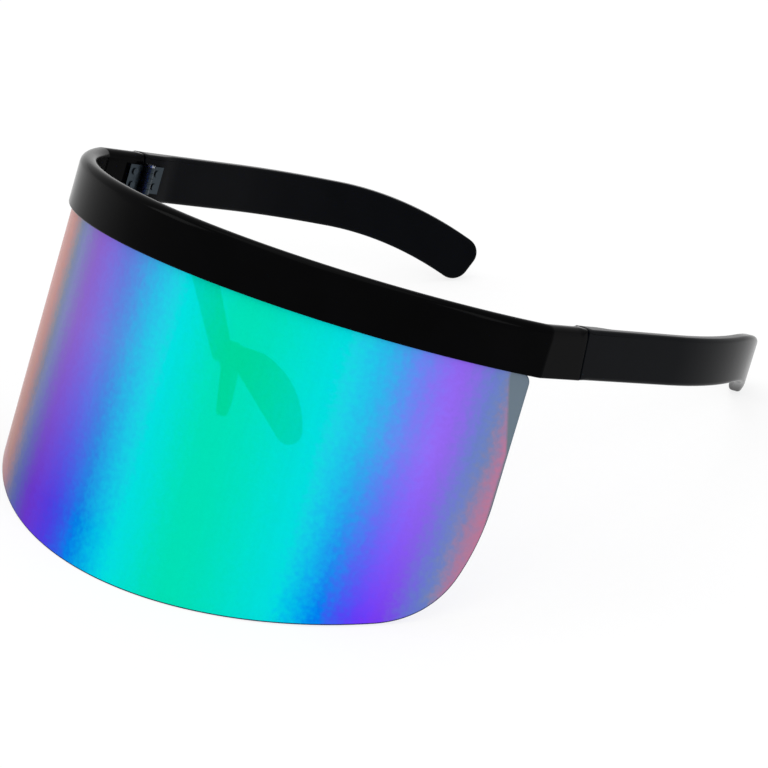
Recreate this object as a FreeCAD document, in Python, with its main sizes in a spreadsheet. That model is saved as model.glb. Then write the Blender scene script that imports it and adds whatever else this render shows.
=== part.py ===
import FreeCAD, Part
import math
import os
import Sketcher
from FreeCAD import Placement, Rotation, Vector

# Shield sunglasses: a brow bar that wraps the face, one bent mirrored lens under it,
# two folding temples on five-knuckle steel hinges, and a nose piece behind the lens.
# Millimetres and degrees. Every piece is drawn as the glasses are worn, about the axis
# that the bar and the lens are bent round: the front faces -Y, the wearer's left is +X,
# and the bar's lower face is at zero height. The worn glasses are then tilted to rest.

SIZES = {
    # brow bar
    "front_radius": 80.0,
    "crease_angle": 65.0,
    "bar_height": 12.2,
    "bar_thickness": 4.4,
    "end_length": 15.4,
    "joint_gap": 0.3,
    "joint_lean": 9.5,
    "crease_round": 2.4,
    "edge_round": 0.8,
    "joint_edge_round": 0.25,
    "boss_width": 13.0,
    "boss_flat": 1.2,
    "boss_low": 1.4,
    "boss_tall": 9.6,
    # lens
    "lens_setback": 1.2,
    "lens_thickness": 2.0,
    "lens_play": 0.12,
    "lens_height": 75.0,
    "lens_angle": 63.9,
    "lens_cut_angle": 21.6,
    "lens_corner": 23.5,
    "lens_side_radius": 79.0,
    "lens_side_arc": 18.0,
    "lens_shoulder": 3.3,
    "lens_shoulder_gap": 0.25,
    "tab_angle": 60.0,
    "groove_angle": 60.5,
    "groove_depth": 5.4,
    # temples
    "temple_straight_length": 40.0,
    "temple_thickness": 3.3,
    "block_length": 7.2,
    "block_ramp_length": 5.0,
    "bow_radius": 133.5,
    "bow_angle": 45.0,
    "side_turn": 38.0,
    "drop_start_length": 65.3,
    "drop_radius": 117.7,
    "drop_angle": 22.2,
    "tip_round": 4.4,
    # hinges
    "hinge_height": 7.0,
    "knuckle_radius": 1.4,
    "knuckle_gap": 0.1,
    "knuckle_play": 0.2,
    "leaf_length": 6.4,
    "leaf_thickness": 0.8,
    "leaf_clear": 1.8,
    "pin_radius": 0.65,
    "pin_play": 0.04,
    "pin_head_radius": 1.25,
    "pin_head_height": 0.6,
    "pin_slot_width": 0.35,
    "pin_slot_depth": 0.25,
    "rivet_radius": 0.5,
    "rivet_play": 0.02,
    "rivet_head_radius": 0.9,
    "rivet_head_height": 0.35,
    "rivet_depth": 2.2,
    "rivet_inset": 1.8,
    "rivet_back": 4.3,
    # nose piece
    "foot_thickness": 2.2,
    "foot_width": 12.0,
    "foot_tall": 8.8,
    "foot_low": 1.8,
    "stem_width": 4.8,
    "stem_low_width": 4.0,
    "stem_rise": 3.6,
    "saddle_setback": 26.3,
    "saddle_drop": 16.4,
    "saddle_tall": 4.8,
    "saddle_length": 4.0,
    "wing_splay": 60.0,
    "wing_root_length": 1.0,
    "wing_thickness": 2.6,
    "wing_run_length": 9.4,
    "wing_fall_height": 1.0,
    "wing_reach": 23.6,
    "wing_drop": 16.4,
    "wing_bend_radius": 23.0,
    "wing_tip_reach": 18.8,
    "wing_tip_drop": 20.4,
    "wing_tip_round": 3.2,
    "wing_notch_reach": 4.1,
    "wing_notch_drop": 6.6,
    "wing_edge_round": 0.7,
    "nose_screw_radius": 0.6,
    "nose_screw_play": 0.02,
    "nose_screw_head": 1.3,
    "nose_screw_head_height": 0.6,
    "nose_screw_depth": 2.4,
    "nose_screw_apart": 7.0,
    "nose_screw_height": 8.2,
}

# What follows from the sizes above, as formulas of the same document
DERIVED = {
    "side_x": "Sizes.front_radius * sin(Sizes.crease_angle)",
    "corner_y": "-Sizes.front_radius * cos(Sizes.crease_angle)",
    "joint_y": "corner_y + Sizes.end_length",
    "bar_end_y": "joint_y - Sizes.joint_gap / 2",
    "lean_run": "Sizes.bar_height * tan(Sizes.joint_lean)",
    "bar_back_y": "bar_end_y + lean_run",
    "bar_fore_y": "bar_end_y - lean_run",
    "past_bar_y": "bar_back_y + Sizes.bar_height",
    "below_bar_z": "-Sizes.bar_height / 2",
    "above_bar_z": "Sizes.bar_height * 3 / 2",
    "inner_radius": "Sizes.front_radius - Sizes.bar_thickness",
    "inner_x": "side_x - Sizes.bar_thickness",
    "inner_corner_y": "-sqrt(inner_radius * inner_radius - inner_x * inner_x)",
    "lens_outer": "Sizes.front_radius - Sizes.lens_setback",
    "lens_inner": "lens_outer - Sizes.lens_thickness",
    "lens_outer_x": "lens_outer * sin(Sizes.lens_angle)",
    "lens_outer_y": "-lens_outer * cos(Sizes.lens_angle)",
    "lens_inner_x": "lens_inner * sin(Sizes.lens_angle)",
    "lens_inner_y": "-lens_inner * cos(Sizes.lens_angle)",
    "lens_top": "Sizes.groove_depth - Sizes.lens_play",
    "lens_total": "Sizes.lens_height + lens_top",
    "lens_front_y": "-lens_outer",
    "cut_front_y": "-Sizes.front_radius",
    "cut_front_z": "-Sizes.lens_height - Sizes.lens_setback * tan(Sizes.lens_cut_angle)",
    "cut_below_z": "-2 * Sizes.lens_height",
    "corner_turn": "90 - Sizes.lens_cut_angle",
    "side_arc_back": "Sizes.lens_side_radius * (1 - cos(Sizes.lens_side_arc))",
    "side_arc_drop": "Sizes.lens_side_radius * sin(Sizes.lens_side_arc)",
    "low_arc_back": "Sizes.lens_corner * (cos(Sizes.lens_side_arc) - cos(corner_turn))",
    "low_arc_drop": "Sizes.lens_corner * (sin(corner_turn) - sin(Sizes.lens_side_arc))",
    "corner_run": "(side_arc_back + low_arc_back) / sin(corner_turn)",
    "corner_z": "-Sizes.lens_height + (lens_inner_y - lens_front_y) * tan(Sizes.lens_cut_angle)",
    "corner_side_z": "corner_z + side_arc_drop + low_arc_drop - corner_run * cos(corner_turn)",
    "corner_mid_y": "lens_inner_y - side_arc_back",
    "corner_mid_z": "corner_side_z - side_arc_drop",
    "corner_low_y": "lens_inner_y - corner_run * cos(Sizes.lens_cut_angle)",
    "corner_low_z": "corner_z - corner_run * sin(Sizes.lens_cut_angle)",
    "behind_lens_y": "lens_inner_y + Sizes.lens_corner",
    "tab_y": "-lens_outer * cos(Sizes.tab_angle)",
    "shoulder_z": "-Sizes.lens_shoulder_gap",
    "shoulder_y": "lens_inner_y - Sizes.lens_shoulder",
    "shoulder_low_z": "shoulder_z - Sizes.lens_shoulder",
    "above_lens_z": "2 * Sizes.groove_depth",
    "groove_outer": "lens_outer + Sizes.lens_play",
    "groove_inner": "lens_inner - Sizes.lens_play",
    "groove_outer_x": "groove_outer * sin(Sizes.groove_angle)",
    "groove_outer_y": "-groove_outer * cos(Sizes.groove_angle)",
    "groove_inner_x": "groove_inner * sin(Sizes.groove_angle)",
    "groove_inner_y": "-groove_inner * cos(Sizes.groove_angle)",
    "boss_x": "Sizes.boss_width / 2",
    "boss_y": "-inner_radius + Sizes.boss_flat",
    "boss_root_y": "-inner_radius - Sizes.lens_play",
    "temple_y": "joint_y + Sizes.joint_gap / 2",
    "temple_back_y": "temple_y + lean_run",
    "temple_fore_y": "temple_y - lean_run",
    "before_temple_y": "temple_fore_y - Sizes.bar_height",
    "bow_y": "temple_y + Sizes.temple_straight_length",
    "bow_inner": "Sizes.bow_radius - Sizes.temple_thickness",
    "tip_outer_x": "side_x - Sizes.bow_radius * (1 - cos(Sizes.bow_angle))",
    "tip_outer_y": "bow_y + Sizes.bow_radius * sin(Sizes.bow_angle)",
    "tip_inner_x": "side_x - Sizes.bow_radius + bow_inner * cos(Sizes.bow_angle)",
    "tip_inner_y": "bow_y + bow_inner * sin(Sizes.bow_angle)",
    "arm_inner_x": "side_x - Sizes.temple_thickness",
    "ramp_y": "temple_y + Sizes.block_length",
    "arm_y": "ramp_y + Sizes.block_ramp_length",
    "drop_top_radius": "Sizes.drop_radius + Sizes.bar_height / 2",
    "drop_low_radius": "Sizes.drop_radius - Sizes.bar_height / 2",
    "drop_centre_z": "Sizes.bar_height / 2 - Sizes.drop_radius",
    "tip_top_y": "Sizes.drop_start_length + drop_top_radius * sin(Sizes.drop_angle)",
    "tip_top_z": "drop_centre_z + drop_top_radius * cos(Sizes.drop_angle)",
    "tip_low_y": "Sizes.drop_start_length + drop_low_radius * sin(Sizes.drop_angle)",
    "tip_low_z": "drop_centre_z + drop_low_radius * cos(Sizes.drop_angle)",
    "before_temple": "-Sizes.bar_height",
    "past_tip": "tip_top_y + Sizes.bow_radius",
    "below_temple": "-Sizes.drop_radius",
    "axis_x": "inner_x - Sizes.knuckle_radius - Sizes.knuckle_play",
    "hinge_low": "(Sizes.bar_height - Sizes.hinge_height) / 2",
    "hinge_top": "hinge_low + Sizes.hinge_height",
    "knuckle_pitch": "Sizes.hinge_height / 5",
    "knuckle_height": "knuckle_pitch - Sizes.knuckle_gap",
    "knuckle_hole": "Sizes.pin_radius + Sizes.pin_play",
    "leaf_x": "inner_x - Sizes.leaf_thickness",
    "leaf_plate": "Sizes.leaf_length - Sizes.leaf_clear",
    "front_leaf_y": "joint_y - Sizes.leaf_length",
    "temple_leaf_y": "joint_y + Sizes.leaf_clear",
    "front_web_y": "joint_y - web_length",
    "web_length": "Sizes.leaf_clear + Sizes.knuckle_play",
    "web_thickness": "Sizes.leaf_thickness - Sizes.knuckle_play",
    "pin_slot_x": "axis_x - Sizes.pin_head_radius",
    "pin_slot_y": "joint_y - Sizes.pin_slot_width / 2",
    "pin_slot_z": "hinge_top + Sizes.pin_head_height - Sizes.pin_slot_depth",
    "pin_slot_length": "2 * Sizes.pin_head_radius",
    "rivet_hole": "Sizes.rivet_radius + Sizes.rivet_play",
    "rivet_low": "hinge_low + Sizes.rivet_inset",
    "rivet_high": "hinge_top - Sizes.rivet_inset",
    "front_rivet_y": "joint_y - Sizes.rivet_back",
    "temple_rivet_y": "joint_y + Sizes.rivet_back",
    "rivet_head_x": "leaf_x - Sizes.rivet_head_height",
    "rivet_shank": "Sizes.leaf_thickness + Sizes.rivet_depth",
    "rivet_bore": "Sizes.rivet_depth + Sizes.rivet_play",
    "foot_x": "Sizes.foot_width / 2",
    "foot_back_y": "boss_y + Sizes.foot_thickness",
    "foot_high": "Sizes.foot_low + Sizes.foot_tall",
    "stem_top_z": "Sizes.foot_low + Sizes.stem_rise",
    "stem_top_x": "Sizes.stem_width / 2",
    "stem_low_x": "Sizes.stem_low_width / 2",
    "apex_y": "-Sizes.front_radius + Sizes.saddle_setback",
    "apex_front": "-apex_y",
    "saddle_y": "apex_y - Sizes.saddle_length / 2",
    "saddle_back_y": "apex_y + Sizes.saddle_length / 2",
    "saddle_z": "-Sizes.saddle_drop",
    "saddle_low_z": "saddle_z - Sizes.saddle_tall",
    "wing_root_u": "-Sizes.wing_root_length",
    "wing_run_z": "saddle_z - Sizes.wing_fall_height",
    "wing_reach_z": "saddle_z - Sizes.wing_drop",
    "wing_tip_z": "saddle_z - Sizes.wing_tip_drop",
    "wing_notch_z": "saddle_z - Sizes.wing_notch_drop",
    "nose_screw_x": "Sizes.nose_screw_apart / 2",
    "nose_screw_hole": "Sizes.nose_screw_radius + Sizes.nose_screw_play",
    "nose_screw_shank": "Sizes.foot_thickness + Sizes.nose_screw_depth",
    "nose_screw_bore": "Sizes.nose_screw_depth + Sizes.nose_screw_play",
    "nose_screw_head_y": "foot_back_y + Sizes.nose_screw_head_height",
}

doc = FreeCAD.newDocument("ShieldSunglasses")


def make_sheet(name, cells, prefix):
    """A sheet with one named cell to a row."""
    sheet = doc.addObject("Spreadsheet::Sheet", name)
    for row, (alias, content) in enumerate(cells.items(), start=1):
        sheet.set(f"A{row}", alias)
        sheet.set(f"B{row}", f"{prefix}{content}")
        sheet.setAlias(f"B{row}", alias)
    return sheet


sizes = make_sheet("Sizes", SIZES, "")
derived = make_sheet("Derived", DERIVED, "=")
doc.recompute()


def value(name):
    """The number in a named cell, or its negative where the name has a minus sign."""
    if name.startswith("-"):
        return -value(name[1:])
    return float((sizes if name in SIZES else derived).get(name))


def cell(name):
    """The expression that binds a size to a named cell."""
    if name.startswith("-"):
        return "-" + cell(name[1:])
    return ("Sizes." if name in SIZES else "Derived.") + name


def bind(thing, **links):
    """Binds properties to cells: a double underscore in the keyword stands for a dot."""
    for path, name in links.items():
        thing.setExpression(path.replace("__", "."), cell(name))
    return thing


# Sketches and features

def new_body(label):
    body = doc.addObject("PartDesign::Body", label)
    body.Label = label
    return body


def new_sketch(body, plane, name, turn=None, **shift):
    """A sketch on one of the body's own planes, moved along it or off it by named sizes."""
    sketch = body.newObject("Sketcher::SketchObject", name)
    support = [part for part in body.Origin.OriginFeatures if part.Role == plane][0]
    sketch.AttachmentSupport = [(support, "")]
    sketch.MapMode = "FlatFace"
    if turn is not None:
        sketch.AttachmentOffset = Placement(Vector(), turn)
    for along, name in shift.items():
        bind(sketch, **{f"AttachmentOffset__Base__{along}": name})
    return sketch


def place_point(sketch, edge, end, across, up):
    """Holds the end of an edge at two named sizes from the sketch's origin."""
    for kind, name, axis in (("DistanceX", across, -2), ("DistanceY", up, -1)):
        if name == "0":
            sketch.addConstraint(Sketcher.Constraint("PointOnObject", edge, end, axis))
            continue
        index = sketch.addConstraint(Sketcher.Constraint(kind, -1, 1, edge, end, value(name)))
        sketch.setExpression(f"Constraints[{index}]", cell(name))


def number(name):
    return 0.0 if name == "0" else value(name)


def draw_outline(sketch, points, arcs=None):
    """A closed outline through named points; arcs gives a side's radius and its turn, +1 to the left."""
    arcs = arcs or {}
    spots = [Vector(number(across), number(up), 0) for across, up in points]
    edges = []
    for index, start in enumerate(spots):
        finish = spots[(index + 1) % len(spots)]
        if index not in arcs:
            edges.append((sketch.addGeometry(Part.LineSegment(start, finish), False), 1, 2))
            continue
        radius, turn = arcs[index]
        chord = finish - start
        to_right = Vector(chord.y, -chord.x, 0).normalize()
        sagitta = value(radius) - math.sqrt(value(radius) ** 2 - (chord.Length / 2) ** 2)
        middle = (start + finish) * 0.5 + to_right * (turn * sagitta)
        if turn > 0:
            edge = sketch.addGeometry(Part.Arc(start, middle, finish), False)
            edges.append((edge, 1, 2))
        else:
            edge = sketch.addGeometry(Part.Arc(finish, middle, start), False)
            edges.append((edge, 2, 1))
        index_radius = sketch.addConstraint(Sketcher.Constraint("Radius", edge, value(radius)))
        sketch.setExpression(f"Constraints[{index_radius}]", cell(radius))
    for index, (edge, start, finish) in enumerate(edges):
        following = edges[(index + 1) % len(edges)]
        sketch.addConstraint(Sketcher.Constraint("Coincident", edge, finish, following[0], following[1]))
        place_point(sketch, edge, start, *points[index])


def draw_circle(sketch, across, up, radius):
    centre = Vector(number(across), number(up), 0)
    edge = sketch.addGeometry(Part.Circle(centre, Vector(0, 0, 1), value(radius)), False)
    index = sketch.addConstraint(Sketcher.Constraint("Radius", edge, value(radius)))
    sketch.setExpression(f"Constraints[{index}]", cell(radius))
    place_point(sketch, edge, 3, across, up)


def extrude(body, kind, name, sketch, length=None, both=False, back=False):
    """A Pad or a Pocket of a sketch; with no length a pocket goes right through."""
    doc.recompute()
    before = body.Shape.Volume if body.Tip else 0.0
    feature = body.newObject(f"PartDesign::{kind}", name)
    feature.Profile = sketch
    feature.SideType = "Symmetric" if both else "One side"
    feature.Reversed = back
    if length is None:
        feature.Type = "ThroughAll"
    else:
        bind(feature, Length=length)
    doc.recompute()
    change = feature.Shape.Volume - before
    if change * (1 if kind == "Pad" else -1) <= 0:
        raise RuntimeError(f"{body.Label}: {name} changes nothing")
    return feature


def mirror(body, name, feature):
    """The same feature again on the other side of the glasses."""
    copy = body.newObject("PartDesign::Mirrored", name)
    plane = [part for part in body.Origin.OriginFeatures if part.Role == "YZ_Plane"][0]
    copy.Originals = [feature]
    copy.MirrorPlane = (plane, [""])
    body.Tip = copy
    doc.recompute()
    return copy


def round_edges(body, name, radius, chosen):
    """Rounds the edges of the body whose middle and direction pass the test."""
    doc.recompute()
    base = body.Tip
    picked = []
    for index, edge in enumerate(base.Shape.Edges, start=1):
        middle = edge.valueAt((edge.FirstParameter + edge.LastParameter) / 2)
        ends = [vertex.Point for vertex in edge.Vertexes]
        if chosen(middle, ends):
            picked.append(f"Edge{index}")
    fillet = body.newObject("PartDesign::Fillet", name)
    fillet.Base = (base, picked)
    bind(fillet, Radius=radius)
    doc.recompute()
    return fillet


NEAR = value("lens_play") / 2


def level(ends, height):
    return all(abs(point.z - height) < NEAR for point in ends)


def upright(ends):
    return len(ends) == 2 and math.hypot(ends[0].x - ends[1].x, ends[0].y - ends[1].y) < NEAR


def at_joint(ends, middle_height_y):
    """Whether an edge lies in the joint's leaning face, which passes a named place at half height."""
    slope = math.tan(math.radians(value("joint_lean")))
    half = value("bar_height") / 2
    return all(abs(point.y - value(middle_height_y) + (point.z - half) * slope) < NEAR for point in ends)


# Brow bar: one moulding with an end piece at each side, a groove for the lens and a boss for the nose piece

def on_rim(middle, ends):
    """Whether an edge runs along the bar's upper face, or along the outside of its lower face."""
    outside = math.hypot(middle.x, middle.y) > value("front_radius") - value("bar_thickness") / 2
    beside = abs(middle.x) > value("side_x") - value("bar_thickness") / 2
    upper = level(ends, value("bar_height"))
    lower = level(ends, 0) and (outside or beside)
    return (upper or lower) and not at_joint(ends, "bar_end_y")


def make_brow_bar():
    body = new_body("brow_bar")
    plan = new_sketch(body, "XY_Plane", "bar_plan")
    outer = [("side_x", "past_bar_y"), ("inner_x", "past_bar_y"), ("inner_x", "inner_corner_y")]
    other = [("-" + across, up) for across, up in reversed(outer)]
    points = outer + other + [("-side_x", "corner_y"), ("side_x", "corner_y")]
    draw_outline(plan, points, {2: ("inner_radius", -1), 6: ("front_radius", 1)})
    extrude(body, "Pad", "bar_pad", plan, "bar_height")

    ends = new_sketch(body, "YZ_Plane", "bar_end_cut")
    draw_outline(ends, [("bar_back_y", "below_bar_z"), ("past_bar_y", "below_bar_z"),
                        ("past_bar_y", "above_bar_z"), ("bar_fore_y", "above_bar_z")])
    extrude(body, "Pocket", "bar_ends", ends, both=True)

    boss = new_sketch(body, "XY_Plane", "boss_plan", z="boss_low")
    draw_outline(boss, [("boss_x", "boss_y"), ("-boss_x", "boss_y"),
                        ("-boss_x", "boss_root_y"), ("boss_x", "boss_root_y")])
    extrude(body, "Pad", "boss_pad", boss, "boss_tall")

    round_edges(body, "crease_rounding", "crease_round", lambda middle, ends: upright(ends)
                and abs(ends[0].y - value("corner_y")) < NEAR)
    round_edges(body, "rim_rounding", "edge_round", on_rim)
    round_edges(body, "bar_end_rounding", "joint_edge_round", lambda middle, ends:
                at_joint(ends, "bar_end_y") and abs(middle.x) > value("inner_x") + NEAR)

    groove = new_sketch(body, "XY_Plane", "groove_plan")
    draw_outline(groove, [("groove_outer_x", "groove_outer_y"), ("groove_inner_x", "groove_inner_y"),
                          ("-groove_inner_x", "groove_inner_y"), ("-groove_outer_x", "groove_outer_y")],
                 {1: ("groove_inner", -1), 3: ("groove_outer", 1)})
    extrude(body, "Pocket", "lens_groove", groove, "groove_depth", back=True)

    bores = new_sketch(body, "YZ_Plane", "rivet_bores", z="inner_x")
    for height in ("rivet_low", "rivet_high"):
        draw_circle(bores, "front_rivet_y", height, "rivet_hole")
    bore = extrude(body, "Pocket", "rivet_bore", bores, "rivet_bore", back=True)
    mirror(body, "rivet_bore_mirrored", bore)

    holes = new_sketch(body, "XZ_Plane", "nose_screw_holes", z="-boss_y")
    for across in ("nose_screw_x", "-nose_screw_x"):
        draw_circle(holes, across, "nose_screw_height", "nose_screw_hole")
    extrude(body, "Pocket", "nose_screw_bore", holes, "nose_screw_bore", back=True)
    return body


# Shield lens: a sheet bent round the face, its lower edge cut on a slope, its tab in the bar's groove

def make_shield_lens():
    body = new_body("shield_lens")
    plan = new_sketch(body, "XY_Plane", "lens_plan", z="-lens_height")
    draw_outline(plan, [("lens_outer_x", "lens_outer_y"), ("lens_inner_x", "lens_inner_y"),
                        ("-lens_inner_x", "lens_inner_y"), ("-lens_outer_x", "lens_outer_y")],
                 {1: ("lens_inner", -1), 3: ("lens_outer", 1)})
    extrude(body, "Pad", "lens_pad", plan, "lens_total")

    lower = new_sketch(body, "YZ_Plane", "lower_cut")
    draw_outline(lower, [("lens_inner_y", "corner_side_z"), ("corner_mid_y", "corner_mid_z"),
                         ("corner_low_y", "corner_low_z"), ("cut_front_y", "cut_front_z"),
                         ("cut_front_y", "cut_below_z"), ("behind_lens_y", "cut_below_z"),
                         ("behind_lens_y", "corner_side_z")],
                 {0: ("lens_side_radius", -1), 1: ("lens_corner", -1)})
    extrude(body, "Pocket", "lower_edge", lower, both=True)

    shoulder = new_sketch(body, "YZ_Plane", "shoulder_cut")
    draw_outline(shoulder, [("shoulder_y", "shoulder_z"), ("lens_inner_y", "shoulder_low_z"),
                            ("behind_lens_y", "shoulder_low_z"), ("behind_lens_y", "above_lens_z"),
                            ("tab_y", "above_lens_z"), ("tab_y", "shoulder_z")],
                 {0: ("lens_shoulder", -1)})
    extrude(body, "Pocket", "lens_shoulders", shoulder, both=True)
    return body


# Temple: a tall band, straight behind the hinge, then bowed inward, its tip dropping behind the ear

def inward(point):
    """How far a point of the arm is inside its outer face."""
    if point.y <= value("bow_y"):
        return value("side_x") - point.x
    centre_x = value("side_x") - value("bow_radius")
    return value("bow_radius") - math.hypot(point.x - centre_x, point.y - value("bow_y"))


def along_arm(middle, ends):
    """Whether an edge runs along the arm's outer or inner face, not through its thickness."""
    depths = [inward(point) for point in ends + [middle]]
    outer = all(depth < NEAR for depth in depths)
    inner = all(depth > value("temple_thickness") - NEAR for depth in depths)
    return (outer or inner) and not upright(ends)


def at_tip(point):
    """Whether a point is on one of the two corner edges of the arm's end."""
    turn = math.radians(value("side_turn"))
    across, along = point.x - value("side_x"), point.y - value("temple_y")
    run = along * math.cos(turn) - across * math.sin(turn)
    corners = (("tip_top_y", "tip_top_z"), ("tip_low_y", "tip_low_z"))
    return any(math.hypot(run - value(spot), point.z - value(height)) < NEAR for spot, height in corners)


def make_temple():
    body = new_body("left_temple")
    plan = new_sketch(body, "XY_Plane", "temple_plan", z="below_temple")
    draw_outline(plan, [("side_x", "temple_fore_y"), ("side_x", "bow_y"), ("tip_outer_x", "tip_outer_y"),
                        ("tip_inner_x", "tip_inner_y"), ("arm_inner_x", "bow_y"), ("arm_inner_x", "arm_y"),
                        ("inner_x", "ramp_y"), ("inner_x", "temple_fore_y")],
                 {1: ("bow_radius", 1), 3: ("bow_inner", -1)})
    extrude(body, "Pad", "temple_pad", plan, "past_tip")

    turn = Rotation(Vector(0, 1, 0), value("side_turn"))
    side = new_sketch(body, "YZ_Plane", "temple_side", turn, x="temple_y", z="side_x")
    bind(side, AttachmentOffset__Rotation__Angle="side_turn")
    draw_outline(side, [("before_temple", "0"), ("drop_start_length", "0"), ("tip_low_y", "tip_low_z"),
                        ("tip_top_y", "tip_top_z"), ("drop_start_length", "bar_height"),
                        ("before_temple", "bar_height")],
                 {1: ("drop_low_radius", -1), 3: ("drop_top_radius", 1)})
    draw_outline(side, [("below_temple", "below_temple"), ("past_tip", "below_temple"),
                        ("past_tip", "past_tip"), ("below_temple", "past_tip")])
    extrude(body, "Pocket", "side_trim", side, both=True)

    start = new_sketch(body, "YZ_Plane", "temple_start_cut")
    draw_outline(start, [("temple_back_y", "below_bar_z"), ("temple_fore_y", "above_bar_z"),
                         ("before_temple_y", "above_bar_z"), ("before_temple_y", "below_bar_z")])
    extrude(body, "Pocket", "temple_start", start, both=True)

    round_edges(body, "tip_rounding", "tip_round", lambda middle, ends: at_tip(middle))
    round_edges(body, "arm_rounding", "edge_round", lambda middle, ends:
                along_arm(middle, ends) and not at_joint(ends, "temple_y"))
    round_edges(body, "temple_start_rounding", "joint_edge_round", lambda middle, ends:
                at_joint(ends, "temple_y") and middle.x > value("inner_x") + NEAR)

    bores = new_sketch(body, "YZ_Plane", "temple_rivet_bores", z="inner_x")
    for height in ("rivet_low", "rivet_high"):
        draw_circle(bores, "temple_rivet_y", height, "rivet_hole")
    extrude(body, "Pocket", "temple_rivet_bore", bores, "rivet_bore", back=True)
    return body


# Nose piece: a foot screwed to the boss, a stem running back and down to a saddle, and two wings, in one

def on_wing(middle, ends):
    """Whether an edge runs round the free part of a wing, on one of its two faces."""
    turn = math.radians(value("wing_splay"))
    apex = value("apex_y")
    along = abs(middle.x) * math.cos(turn) + (middle.y - apex) * math.sin(turn)
    sideways = [abs(point.x) * math.sin(turn) - (point.y - apex) * math.cos(turn) for point in ends]
    return along > value("wing_run_length") and max(sideways) - min(sideways) < NEAR


def make_nose_bridge():
    body = new_body("nose_bridge")
    foot = new_sketch(body, "XZ_Plane", "foot_face", z="-boss_y")
    draw_outline(foot, [("foot_x", "foot_low"), ("foot_x", "foot_high"),
                        ("-foot_x", "foot_high"), ("-foot_x", "foot_low")])
    for across in ("nose_screw_x", "-nose_screw_x"):
        draw_circle(foot, across, "nose_screw_height", "nose_screw_hole")
    extrude(body, "Pad", "foot_pad", foot, "foot_thickness", back=True)

    stem = new_sketch(body, "YZ_Plane", "stem_side")
    draw_outline(stem, [("boss_y", "foot_low"), ("saddle_y", "saddle_low_z"),
                        ("saddle_back_y", "saddle_low_z"), ("saddle_back_y", "saddle_z"),
                        ("saddle_y", "saddle_z"), ("foot_back_y", "stem_top_z"), ("boss_y", "stem_top_z")])
    extrude(body, "Pad", "stem_pad", stem, "stem_width", both=True)
    sides = new_sketch(body, "XY_Plane", "stem_taper")
    for top_x, low_x in (("stem_top_x", "stem_low_x"), ("-stem_top_x", "-stem_low_x")):
        draw_outline(sides, [(top_x, "foot_back_y"), (low_x, "saddle_y"),
                             (low_x, "saddle_back_y"), (top_x, "saddle_back_y")])
    extrude(body, "Pocket", "stem_sides", sides, both=True)

    turn = Rotation(Vector(0, 1, 0), value("wing_splay"))
    face = new_sketch(body, "XZ_Plane", "wing_face", turn, z="apex_front")
    bind(face, AttachmentOffset__Rotation__Angle="wing_splay")
    draw_outline(face, [("wing_root_u", "saddle_low_z"), ("wing_notch_reach", "wing_notch_z"),
                        ("wing_tip_reach", "wing_tip_z"), ("wing_reach", "wing_reach_z"),
                        ("wing_run_length", "wing_run_z"), ("wing_root_u", "saddle_z")],
                 {2: ("wing_tip_round", 1), 3: ("wing_bend_radius", 1)})
    wing = extrude(body, "Pad", "wing_plate", face, "wing_thickness", both=True)
    mirror(body, "wing_plate_mirrored", wing)
    round_edges(body, "wing_rounding", "wing_edge_round", on_wing)
    return body


# Plain blocks and rods for the small metal pieces

ALONG_X = Rotation(Vector(0, 1, 0), 90)
TO_FRONT = Rotation(Vector(1, 0, 0), 90)


def make_box(name, corner, length, width, height):
    box = doc.addObject("Part::Box", name)
    bind(box, Length=length, Width=width, Height=height)
    for axis, place in zip("xyz", corner):
        bind(box, **{f"Placement__Base__{axis}": place})
    return box


def make_rod(name, radius, length, foot, direction=None):
    rod = doc.addObject("Part::Cylinder", name)
    bind(rod, Radius=radius, Height=length)
    if direction is not None:
        rod.Placement = Placement(Vector(), direction)
    for axis, place in zip("xyz", foot):
        bind(rod, **{f"Placement__Base__{axis}": place})
    return rod


def join(name, pieces):
    union = doc.addObject("Part::MultiFuse", name)
    union.Shapes = pieces
    union.Refine = True
    return union


def cut(label, base, tools):
    result = doc.addObject("Part::Cut", label)
    result.Base = base
    result.Tool = tools[0] if len(tools) == 1 else join(f"{label}_holes", tools)
    result.Label = label
    return result


def group(label, pieces):
    bundle = doc.addObject("Part::Compound", label)
    bundle.Links = pieces
    bundle.Label = label
    return bundle


# Hinge: a leaf on each side of the joint, their five knuckles taking turns on one screw

RIVET_HEIGHTS = ("rivet_low", "rivet_high")


def make_leaf(label, slots, plate_y, web_y, rivet_y):
    pieces = [make_box(f"{label}_plate", ("leaf_x", plate_y, "hinge_low"),
                       "leaf_thickness", "leaf_plate", "hinge_height")]
    for slot in slots:
        web = make_box(f"{label}_web", ("leaf_x", web_y, "hinge_low"),
                       "web_thickness", "web_length", "knuckle_height")
        knuckle = make_rod(f"{label}_knuckle", "knuckle_radius", "knuckle_height",
                           ("axis_x", "joint_y", "hinge_low"))
        height = f"Derived.hinge_low + {slot} * Derived.knuckle_pitch + Sizes.knuckle_gap / 2"
        for piece in (web, knuckle):
            piece.setExpression("Placement.Base.z", height)
            pieces.append(piece)
    holes = [make_rod(f"{label}_pin_hole", "knuckle_hole", "hinge_height",
                      ("axis_x", "joint_y", "hinge_low"))]
    for height in RIVET_HEIGHTS:
        holes.append(make_rod(f"{label}_rivet_hole", "rivet_hole", "leaf_thickness",
                              ("leaf_x", rivet_y, height), ALONG_X))
    return cut(label, join(f"{label}_body", pieces), holes)


def make_hinge_screw(label):
    shank = make_rod(f"{label}_shank", "pin_radius", "hinge_height",
                     ("axis_x", "joint_y", "hinge_low"))
    head = make_rod(f"{label}_head", "pin_head_radius", "pin_head_height",
                    ("axis_x", "joint_y", "hinge_top"))
    slot = make_box(f"{label}_slot", ("pin_slot_x", "pin_slot_y", "pin_slot_z"),
                    "pin_slot_length", "pin_slot_width", "pin_slot_depth")
    return cut(label, join(f"{label}_blank", [shank, head]), [slot])


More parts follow.
